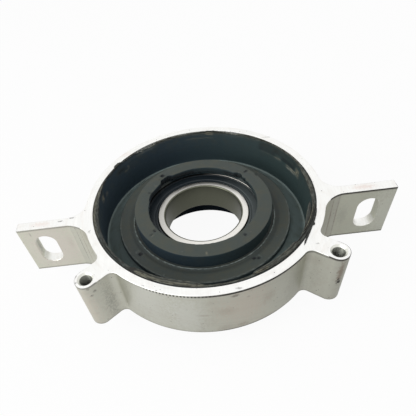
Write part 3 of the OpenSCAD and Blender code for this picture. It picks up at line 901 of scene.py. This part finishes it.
top_marks = [
    (10.4, -57.8, 18.8, 2.8, 1.2, 1, dark, 0.5), (-71.8, -6.4, 18.8, 2.4, 0.9, 1, dark, 0.6),
    (-66.4, -5, 18.8, 3.6, 0.7, 1, dark, 0.7), (-59.8, -42.2, 18.8, 0.8, 2.6, 1, dark, 0.5),
    (-59.6, -46, 18.8, 0.9, 1.3, 1, dark, 0.6), (47.7, -39, 18.8, 1.4, 0.8, 1, dark, 0.4),
    (-29.6, -51.3, 18.8, 1.3, 0.8, 1, dark, 0.45), (-24.1, -54.6, 18.8, 0.9, 0.6, 1, dark, 0.5),
    (-56.2, -15.9, 18.8, 1.2, 2, 1, dark, 0.35), (60, 7, 18.8, 0.7, 5.5, 1, dark, 0.5),
    (41, 42, 18.8, 5, 1.2, 1, dark, 0.25), (79, -7, 18.8, 11, 3, 2, pink, 0.5), (-82, -7, 18.8, 9, 3, 2, pink, 0.4),
    (-41, 42, 18.8, 9, 4, 2, pink, 0.3)]
# On the ears, the pale mark in the right slot is a painted highlight, and the shade marks at the right ear's root and
# in the left slot are painted shade.
ear_marks = [
    (-88.1, -10.1, 15.2, 0.8, 1, 2.8, dark, 0.5), (-70, -10.1, 6, 3, 1, 9, brown, 0.2),
    (82.5, -8, -4, 5.5, 3, 2.5, pale, 0.7), (70, -10.1, 3, 5, 2, 14, shade, 0.3),
    (-88, -7.4, 4, 1.2, 3.5, 10, shade, 0.9), (-79, -10.1, 4, 30, 4, 40, tan, 0.7),
    (94, -10.1, 4, 22, 3, 40, clear, 0.6)]


def marked(base, at, marks):
    """A colour with marks laid over it one after another."""
    grain = spread(noise(at, 900.0, 3.0, 0.7), 0.25, 0.75, -0.4, 0.4)
    for *lengths, tone, strength in marks:
        lengths = [c * MM for c in lengths]
        mask = place(smudge, Place=at, Middle=lengths[:3], Reach=lengths[3:], Grain=grain)["Mask"]
        base = blend(times(mask, strength), base, tone)
    return base


# %% The burred edge
# How dark the painted shadow line under the ring's top edge and its burrs is, by angle in degrees.
burr_shadow_line = [
    (-180, 0.1), (-150, 0.15), (-122, 0.1), (-118, 0), (-104, 0), (-98, 0.4), (-94, 0.65), (-90, 0.85), (-86, 0.97),
    (-80, 1.05), (-50, 1.05), (-44, 0.5), (-40, 0.2), (-37, 0.7), (-29, 0.7), (-26, 0), (2, 0), (5, 0.45),
    (10, 0.45), (13, 0), (180, 0)]


def burrs_and_edge_shade(points):
    """How dark the edge is, by place: the burrs with the painted shadow line under the ring's edge, painted shade in
    the teeth's dents, and the edges of the ears, the bosses and the underside, painted darker on the right and
    underneath."""
    x, y, z = points.T
    angle, from_boss = np.arctan2(y, x), np.hypot(np.abs(x) - boss_x, y - boss_y)
    ear_side, boss_side, on_right = np.abs(x) > ring_r + 1, from_boss < boss_r + 0.5, x > 0
    drop, rise, near = top_z - z, z - base_z, 0.01
    line = by_angle(burr_shadow_line, angle) * (0.95 + 0.05 * ripple(angle, 30, 160, 12))
    line = line * ((drop > edge_w / 2) & (drop < side_drops[2] + near))
    teeth = saw_teeth(angle) * ((drop > side_drops[0] + near) & (drop < side_drops[2] + near))
    # Painted shade: the edges of the ears and bosses darker on the right than on the left, and the lower edges dark
    # too.
    ear_edge = np.where(y < ear_back - 2, np.where(on_right, 1.0, 0.5), 0.2)
    edge = np.where(boss_side, np.where(on_right, 0.95, 0.55), ear_edge)
    edge = edge * ((drop > dish / 2) & (drop < side_drops[1] + near))
    upper = np.where(boss_side | ear_side, edge, np.maximum(line, teeth))
    lower = 0.3 + np.where(ear_side, np.where(on_right, 0.5, 0.25), 0.4 * window(angle, -88, -62, 4))
    lower = lower * ((rise > dish / 2) & (rise < side_drops[1] + near))
    outside = (np.hypot(x, y) > opening_r + 1.5) & (from_boss > boss_r - 1)
    return np.clip(outside * (upper + lower), 0, 1)


def set_attribute(piece, name, values):
    """A value at each of a piece's points, for its material to read."""
    piece.data.attributes.new(name, "FLOAT", "POINT").data.foreach_set("value", values)


bracket_points = np.zeros(3 * len(bracket.data.vertices))
bracket.data.vertices.foreach_get("co", bracket_points)
burr_and_shade_values = burrs_and_edge_shade(bracket_points.reshape(-1, 3) / MM)
set_attribute(bracket, "burr_and_shade", burr_and_shade_values)
print("burred points:", int((burr_and_shade_values > 0.3).sum()))

# %% Aluminium
speck_tone, worn_tone = (0.09, 0.08, 0.07), (0.88, 0.88, 0.85)


def aluminium(name, tone, stain, stretch, fineness, metallic, rough, dirt, marks, worn_edge=0.6):
    """Satin aluminium with lines along one direction, faint stains, dark specks, worn edges and its own marks, some
    of them painted highlights and shade, with the burrs and their painted shadow over all.
    """
    material, shader, at, normal = finish(name, {"Metallic": metallic, "Roughness": rough})
    line = place(lines, Place=at, Stretch=stretch, Fineness=fineness)["Line"]
    spot = spots(at, 1300.0, dirt)
    edge = place(facing, Normal=normal)["Edge"]
    base = layered(blend(times(line, 0.8), toned(tone, 0.93), tone), [
        (times(patches(at, 45.0, 0.35, 0.75), 0.35), toned(tone, 1.06)),
        (times(patches(at, 110.0, 0.56, 0.78), 0.4), stain),
        (spread(rings(at, 420.0, 0.012), 0.5, 1.0, 0.0, 0.25), stain),
        (times(spot, 0.75), speck_tone),
        (times(edge, worn_edge), worn_tone)])
    # The burrs with their painted shadow and shade go over everything else.
    base = blend(attribute(shader, "burr_and_shade"), marked(base, at, marks), dark)
    surface(shader, base, spread(line, 0.0, 1.0, rough - 0.05, rough + 0.08), (line, 0.00001), (rest(spot), 0.00004))
    return material


along_x, along_y, along_z, evenly = (0.04, 1.0, 1.0), (1.0, 0.03, 1.0), (1.0, 1.0, 0.02), (1.0, 1.0, 1.0)
# The sawn ends' near white against the skin's darker grey is partly painted light falling from above, and the threads'
# dark tone is painted shade in the holes.
bracket_materials = [
    aluminium("sawn_end", (0.96, 0.96, 0.94), (0.76, 0.70, 0.64), along_y, 1500.0, 1.0, 0.42, 0.012, top_marks),
    aluminium("extruded_skin", (0.61, 0.61, 0.53), (0.47, 0.43, 0.36), along_z, 900.0, 1.0, 0.45, 0.013, skin_marks),
    aluminium("machined_face", (0.65, 0.66, 0.555), (0.58, 0.53, 0.46), along_x, 1200.0, 0.85, 0.4, 0.006, ear_marks),
    aluminium("tapped_hole", (0.19, 0.195, 0.17), (0.05, 0.05, 0.045), evenly, 900.0, 0.9, 0.45, 0.02, [], 0.0)]

# %% Give each face of the bracket its finish
chamfer_r, thread_r, thread_end = 3.75, 3.1, 0.9


def bracket_finishes():
    """0 for sawn ends, rounded edges and the opening, 1 for the extruded skin, 2 for the ear faces, slots and chamfers,
    3 for the threads."""
    faces = bracket.data.polygons
    normal, centre = (np.zeros(3 * len(faces)) for _ in range(2))
    faces.foreach_get("normal", normal)
    faces.foreach_get("center", centre)
    normal, (x, y, z) = normal.reshape(-1, 3), centre.reshape(-1, 3).T / MM
    kind = np.where((np.abs(normal[:, 2]) > 0.2) | (np.hypot(x, y) < opening_r + 0.3), 0, 1)
    ear = (np.abs(x) > mill_x + 0.1) & (y < ear_front + 0.1) & (y > ear_front - 0.3) & (normal[:, 1] < -0.5)
    slot = (np.abs(np.abs(x) - slot_x) < slot_half_w + 0.4) & (np.abs(z - mid_z) < slot_half_l + 0.4) & (y > -20)
    from_hole = np.hypot(np.abs(x) - boss_x, y - boss_y)
    kind[ear | (slot & (normal[:, 2] < 0.3)) | (from_hole < chamfer_r)] = 2
    kind[(from_hole < thread_r) & (z < top_z - thread_end) & (z > base_z + thread_end)] = 3
    return kind


for material in bracket_materials:
    bracket.data.materials.append(material)
face_kinds = bracket_finishes()
bracket.data.polygons.foreach_set("material_index", face_kinds.astype(np.int32))
print("faces: sawn %d, skin %d, machined %d, threads %d" % tuple((face_kinds == k).sum() for k in range(4)))

# %% [markdown]
# ## Rubber
# Moulded rubber is dark and matt, but it isn't black: faces that look up hold a grey bloom, the groove is paler deep
# down with dust and painted light, the walls are painted lighter towards the right, and scuffs go pale. The scuffs
# lie at known places, so they are a vertex attribute worked out from the same grid as the shape: above zero it is
# pale, below zero it is dark with soil and painted shade. It also carries painted highlights on the bead and the
# ledge's edge, and painted shade in gaps, grooves, pits and under the lip. The shader breaks it up with streaky
# noise. The seals and the inside of the skirt are cleaner; the inside of the skirt is duller and painted darker as
# shade, and both are painted darker at the back left as shade.

# %% Where the rubber is worn, and where light and shade are painted on it
# A box (from and to in degrees, in radius and in height), and how pale (above 0) or dark (below 0) it is.
wear_and_light_boxes = [
    # The rim's top, with painted shade in the gap by the metal, in its groove and crack, and by and under the strands
    (-195, 14, 52, 55.2, 18.2, 19, 0.22), (-158, 14, 55.3, 56, 18, 19, -1), (160, 202, 54.7, 56, 18, 19, 0.5),
    (160, 202, 53.4, 53.8, 18, 19, -0.9), (-154, -137, 54.4, 54.75, 18, 19, -1),
    (-131.5, -128.2, 52.6, 55.7, 17.6, 19, -1.5), (-166, -133, 52.5, 55.3, 18, 19, -0.22),
    (-129, -97, 53.05, 53.5, 18, 19, -1), (-128, -98, 52, 52.9, 17.8, 19, 0.25),
    (-70, -43, 53.2, 53.65, 18, 19, -1), (-69, -44, 52.2, 53.1, 17.8, 19, 0.25),
    (-97, -71, 54.2, 55.3, 18.2, 19, 0.1), (-42, -37, 53.5, 54.3, 17.5, 19, -1), (-37, -31, 54, 54.6, 17.5, 19, -1),
    (-31, -24, 54.4, 55.1, 17.5, 19, -0.9), (78.5, 82.5, 52, 56, 16.6, 18.4, 1), (15, 120, 54.3, 56, 17, 19, 0.25),
    # The outer wall
    (18, 48, 52, 55.3, 12.6, 17.6, -0.65), (13.5, 18, 52, 55, 11.6, 15.8, 1), (17.5, 26, 52, 55, 10.8, 12.9, 1),
    (31, 36, 52, 55, 11.8, 14.4, 0.7), (37, 46, 52, 55, 12, 16.6, 0.3), (20, 34, 52, 55, 14.8, 17, 0.35),
    (78, 95, 52, 55, 14.6, 15.2, 0.3), (136.3, 137.6, 52, 55, 12.8, 15, 0.4), (137.5, 141, 52, 55, 12, 12.9, 0.35),
    (140, 146, 52, 55, 13.8, 15.6, -0.6), (165.7, 169.3, 52, 55, 12.8, 15.8, 0.9),
    (160, 163, 52, 55, 11.8, 13.6, 0.5), (163, 166, 52, 55, 13, 15, -0.5),
    (-180, 180, 51.6, 53.2, -1.2, -0.4, 0.25),
    # The ledge and bead: painted highlights on the bead and ledge edge, painted shade beside the bead and in pits
    (-185, -5, 36.3, 37.3, 6.3, 6.8, 1.3), (-185, 5, 44.2, 45, 5.3, 6.3, 0.5),
    (-180, 180, 37.4, 39, 5.6, 6.3, -0.3), (-180, 180, 35.5, 36.4, 5.9, 6.3, -0.7),
    (-146.6, -144.2, 39.7, 41.5, 5, 6.3, -2), (-149.5, -147.6, 39.5, 42, 5.5, 6.3, 0.25),
    (-58.5, -56.3, 38.8, 40, 5, 6.3, -1.6), (-56, -54, 40.2, 41.4, 5, 6.3, -1.5),
    (-53.8, -52.8, 39.4, 41.2, 5.5, 6.3, 0.4), (-121, -119.8, 43.2, 44, 5.5, 6.3, 0.9),
    # The lip's top, with painted shade in its pits
    (127, 130.4, 31.2, 33, 13, 14.6, -2.5), (37.9, 39.8, 31.5, 34.2, 13, 14.6, -1.6),
    (27.5, 30.5, 34.6, 35.4, 13, 14.6, -0.7), (-149, -146, 29.1, 30.1, 13, 14.6, -2),
    (-146.5, -144.8, 31.4, 33, 13, 14.6, -0.5), (-144.6, -143.2, 31.4, 33, 13, 14.6, 0.25),
    (-55, -52.6, 30.3, 31.5, 13, 14.6, -1.5), (-92.3, -90.8, 32.9, 34.4, 13, 14.6, 0.9),
    (143, 146, 29, 30, 13, 14.6, 0.35), (155.2, 157, 28.6, 30.6, 13, 14.6, -0.6),
    # The lip's inside, darkened as painted shade under the lip, with one pale mark
    (20, 180, 27, 31, 10.5, 13.6, -0.45), (95, 160, 27, 32.2, 8, 13.7, -0.5), (39.5, 43, 27, 29.5, 8, 13.4, 0.4),
    (-25, 60, 27, 31, 9, 13.6, -0.45)]


def wear_and_light_of(angle, r, z):
    """The sum of the boxes, each with soft sides."""
    wear_and_painted_light = 0 * r
    for start, end, r_low, r_high, z_low, z_high, strength in wear_and_light_boxes:
        box = window(angle, start, end, min(2.5, (end - start) / 3))
        wear_and_painted_light += strength * box * between(r, r_low, r_high, 0.12) * between(z, z_low, z_high, 0.12)
    return np.clip(wear_and_painted_light, -1, 1)


def worn_strands():
    """Each strand's own paleness, with another at its inner edge: the cube of the section's inward cosine."""
    worn = []
    for grid, body, edge in torn_strands:
        rows, columns, _ = grid.shape
        inner_share = np.maximum(0, -np.cos(angles_round(columns))) ** 3
        worn.append(np.tile(body + edge * inner_share, rows))
    return np.concatenate(worn)


cushion_r = np.hypot(cushion_points[..., 0], cushion_points[..., 1])
set_attribute(cushion, "wear_and_painted_light", wear_and_light_of(rubber_angle, cushion_r, cushion_points[..., 2]).ravel())
set_attribute(torn_flash, "wear_and_painted_light", worn_strands())


# %% What age does to a moulding
def aged(base, at, up):
    """Walls painted lighter and greener towards the right as painted light from the left front, mottled walls, a
    paler groove deep down from dust and painted light, and an olive bloom on faces that look up.
    """
    x, _, z = parts(at)
    wall = rest(up)
    mottled = times(patches(at, 240.0, 0.45, 0.7), times(spread(z, 0.006, 0.014, 0.0, 0.6), wall))
    olive = times(times(patches(at, 160.0, 0.45, 0.7), up), 0.5)
    # Painted light: the walls lighter and greener towards +x, where the light from the left front falls. The paler
    # faces low in the groove are dust and painted light.
    return layered(base, [(times(spread(x, -0.02, 0.045), wall), (0.0299, 0.0506, 0.0506)),
                          (mottled, (0.036, 0.045, 0.041)),
                          (times(spread(z, 0.0052, 0.0035), up), (0.17, 0.22, 0.215)),
                          (olive, (0.075, 0.074, 0.052))])


def scuffed(base, at, wear_and_painted_light):
    """Soil and painted shade, pale scuffs and painted highlights, as the attribute gives them, in streaks round the
    axis, and the share of the pale ones.
    """
    z, streak = parts(at)[2], rings(at, 1500.0, 0.014)
    gap = times(spread(z, 0.0170, 0.0181), spread(streak, 0.68, 0.35, 0.0, 0.92))
    soil_and_shade = calc("MAXIMUM", calc("MULTIPLY", wear_and_painted_light, -1.0, clamp=True), gap)
    scuff_and_highlight = calc("MULTIPLY", wear_and_painted_light, spread(streak, 0.3, 0.75, 0.2, 1.0), clamp=True)
    soil_and_shade_tone = blend(spread(z, 0.0145, 0.0155), (0.005, 0.008, 0.010), (0.014, 0.014, 0.011))
    scuff_and_highlight_tone = blend(spread(z, 0.009, 0.013), (0.25, 0.29, 0.275), (0.235, 0.22, 0.16))
    return layered(base, [(soil_and_shade, soil_and_shade_tone), (scuff_and_highlight, scuff_and_highlight_tone)]), scuff_and_highlight


# %% Moulded rubber
def rubber(name, wall_tone, bloom, rough, moulding, gloss=0.35):
    """Dark rubber with a bloom on faces that look up, fine grain and mould rings. A moulding also has age, worn places
    and painted light, and other rubber is painted darker at the back left as shade."""
    material, shader, at, normal = finish(name, {"Metallic": 0.0, "Roughness": rough, "Specular IOR Level": gloss})
    up = place(facing, Normal=normal)["Up"]
    ring, cloud = rings(at, 900.0), patches(at, 70.0, 0.3, 0.75)
    base = layered(blend(times(up, spread(cloud, 0.0, 1.0, 0.65, 1.0)), wall_tone, bloom), [
        (times(ring, 0.25), toned(wall_tone, 1.5)),
        (times(spots(at, 900.0, 0.012), 0.25), (0.16, 0.155, 0.14))])
    heights = [(ring, 0.00002), (patches(at, 2600.0, 0.3, 0.7), 0.000015)]
    if moulding:
        base, scuff_and_highlight = scuffed(aged(base, at, up), at, attribute(shader, "wear_and_painted_light"))
        heights.append((scuff_and_highlight, 0.00006))
    else:
        # Painted shade: darker towards the back left.
        x, y, _ = parts(at)
        aside = calc("SUBTRACT", y, times(x, 0.7))
        base = blend(spread(aside, -0.006, 0.018, 0.0, 0.9), base, (0.003, 0.008, 0.013))
    surface(shader, base, spread(cloud, 0.0, 1.0, rough - 0.08, rough + 0.08), *heights)
    return material


moulded_rubber = rubber("moulded_rubber", (0.018, 0.032, 0.044), (0.065, 0.074, 0.060), 0.62, True)
seal_finish = rubber("seal_finish", (0.018, 0.024, 0.028), (0.085, 0.10, 0.10), 0.5, False)
# The inside of the skirt gets a nearly black tone as painted shade.
painted_shade_skirt = rubber("painted_shade_skirt", (0.014, 0.024, 0.036), (0.02, 0.024, 0.03), 0.8, False, 0.08)
for piece, material in ((cushion, moulded_rubber), (cushion, painted_shade_skirt), (torn_flash, moulded_rubber),
                        (upper_seal, seal_finish), (lower_seal, seal_finish)):
    piece.data.materials.append(material)
in_skirt = (section_r[:, 0] < skirt_r + 0.1) & (section_z[:, 0] < sleeve_foot_z)
cushion.data.polygons.foreach_set("material_index", np.repeat(in_skirt, rubber_columns).astype(np.int32))
print("rows in the skirt:", int(in_skirt.sum()))

# %% [markdown]
# ## Steel
# The rings are ground, so their lines run round the axis on faces and bores alike, and one group gives both. The bore's
# dark tone is partly oiled steel and partly a painted reflection of the shaded floor, darker at the left as painted
# shade, and the inner ring's face is painted darker at the back left as shade. The outer ring only shows as a thin line
# in the rubber's shade, so its steel gets the same painted shade on that side. The sleeve, the cage and the balls are
# inside, out of sight in use, and keep the frame's own shapes with plainer steels.

# %% Steel finishes
face_from, face_to = 0.0207, 0.0209  # the radius, in metres, at which the bore's dark tone ends


def steel(name, tone, rough, fineness, oil_and_shade_tone=None, shade_keep=None):
    """Ground or polished steel with fine rings and faint clouds. The bore's dark tone is partly oiled steel and partly
    a painted reflection of the shaded floor, darker at the left as painted shade; the last argument is how much of its
    own tone the steel keeps in the painted shade at the back left."""
    material, shader, at, normal = finish(name, {"Metallic": 1.0, "Roughness": rough})
    ring, cloud = rings(at, fineness), patches(at, 120.0, 0.35, 0.75)
    base = layered(blend(ring, toned(tone, 0.86), tone), [(times(cloud, 0.25), toned(tone, 0.8))])
    x, y, _ = parts(at)
    if shade_keep:
        # Painted shade: the face darker towards the back left.
        aside = calc("SUBTRACT", times(y, 0.8), x)
        base = blend(spread(aside, -0.012, 0.022), base, toned(tone, shade_keep))
    if oil_and_shade_tone:
        dull = blend(ring, toned(oil_and_shade_tone, 0.8), oil_and_shade_tone)
        # Painted shade: the bore darker towards the left.
        dull = blend(spread(x, 0.0, -0.016, 0.0, 0.5), dull, toned(oil_and_shade_tone, 0.5))
        flat = spread(calc("ABSOLUTE", parts(normal)[2]), 0.93, 0.995)
        base = blend(times(flat, spread(radius(x, y), face_from, face_to)), dull, base)
    surface(shader, base, spread(ring, 0.0, 1.0, rough - 0.04, rough + 0.08), (ring, 0.000004))
    return material


ground_steel = steel("ground_steel", (0.90, 0.88, 0.83), 0.3, 3500.0, (0.155, 0.16, 0.12), 0.59)
shaded_steel = steel("shaded_steel", (0.80, 0.77, 0.71), 0.4, 3500.0, shade_keep=0.015)
drawn_steel = steel("drawn_steel", (0.42, 0.43, 0.44), 0.4, 1200.0)
pressed_steel = steel("pressed_steel", (0.50, 0.50, 0.49), 0.35, 900.0)
polished_steel = steel("polished_steel", (0.76, 0.76, 0.77), 0.08, 300.0)
inner_ring.data.materials.append(ground_steel)
outer_ring.data.materials.append(shaded_steel)


def dress(nodes, material):
    """Gives frame nodes that keep their own shape a finish."""
    for name in nodes:
        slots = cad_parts[name].material_slots
        if slots:
            slots[0].material = material
        else:
            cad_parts[name].data.materials.append(material)


balls = [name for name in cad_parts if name.startswith("ball_")]
dress(["bearing_sleeve"], drawn_steel)
dress(["cage_upper", "cage_lower", "cage_rivets"], pressed_steel)
dress(balls, polished_steel)
print("balls:", len(balls))

# %% [markdown]
# ## Floor and light
# The part stands on the end of its skirt, on a plain white table under soft light. The white of the background comes
# from the floor's and the world's own colour for rays that come from the camera or a reflection, so the lamps stay at a
# level at which the finishes keep their colours, and the floor still takes a soft shadow. The light comes from the left
# front, and the floor's glow for reflections is painted brighter on the left, a painted reflection of that light.

# %% Floor
floor_half, white = 3.0, (1.0, 1.0, 1.0, 1.0)
floor_mesh = bpy.data.meshes.new("floor")
floor_corners = np.array([(-1, -1), (1, -1), (1, 1), (-1, 1)]) * floor_half
floor_mesh.from_pydata(np.column_stack([floor_corners, np.full(4, skirt_z * MM)]).tolist(), [], [(0, 1, 2, 3)])
floor = linked("floor", floor_mesh)


def seen_share(tree, camera_share, glossy_share):
    """How much of the plain white is shown to a ray: one share for the camera and glass, one for reflections."""
    path = add(tree, "LightPath").outputs
    direct = calc("MAXIMUM", path["Is Camera Ray"], path["Is Transmission Ray"])
    return calc("MAXIMUM", times(direct, camera_share), times(path["Is Glossy Ray"], glossy_share))


floor_finish, floor_shader, floor_at, _ = finish("floor_finish", {"Metallic": 0.0, "Roughness": 0.9})
floor_tree = floor_finish.node_tree
floor_tone = blend(patches(floor_at, 2.0, 0.3, 0.7), (0.80, 0.80, 0.80), (0.82, 0.82, 0.82))
fill(floor_shader, {"Base Color": floor_tone})
# Painted reflection: the floor's glow for reflected rays falls from full on the left to about a third on the right.
painted_left_reflection = spread(parts(floor_at)[0], -0.12, 0.12, 1.0, 0.36)
not_glossy = rest(add(floor_tree, "LightPath").outputs["Is Glossy Ray"])
glow = add(floor_tree, "Emission", {"Color": white, "Strength": calc("MAXIMUM", painted_left_reflection, not_glossy)})
floor_look = add(floor_tree, "MixShader", {0: seen_share(floor_tree, 0.94, 0.8), 1: floor_shader.outputs[0],
                                           2: glow.outputs[0]})
fill(floor_tree.nodes["Material Output"], {"Surface": floor_look.outputs[0]})
floor_mesh.materials.append(floor_finish)

# %% World and lamps
scene.world = bpy.data.worlds.new("studio")
scene.world.use_nodes = True
sky = scene.world.node_tree
sky_strength = spread(seen_share(sky, 1.0, 1.0), 0.0, 1.0, 0.6, 1.0)
fill(sky.nodes["Background"], {"Color": white, "Strength": sky_strength})


def lamp(name, place_mm, side_mm, power):
    """A square soft lamp at a place, facing the origin."""
    data = bpy.data.lights.new(name, "AREA")
    data.shape, data.size, data.energy = "SQUARE", side_mm * MM, power
    light = linked(name, data)
    light.location = np.array(place_mm) * MM
    light.rotation_mode = "QUATERNION"
    light.rotation_quaternion = Vector(place_mm).to_track_quat("Z", "Y")
    return light


lamp("key_lamp", (-520, -330, 480), 500, 3.0)
fill_lamp = lamp("fill_lamp", (450, 350, 500), 500, 0.4)
fill_lamp.visible_glossy = False
scene.view_settings.view_transform = "Standard"
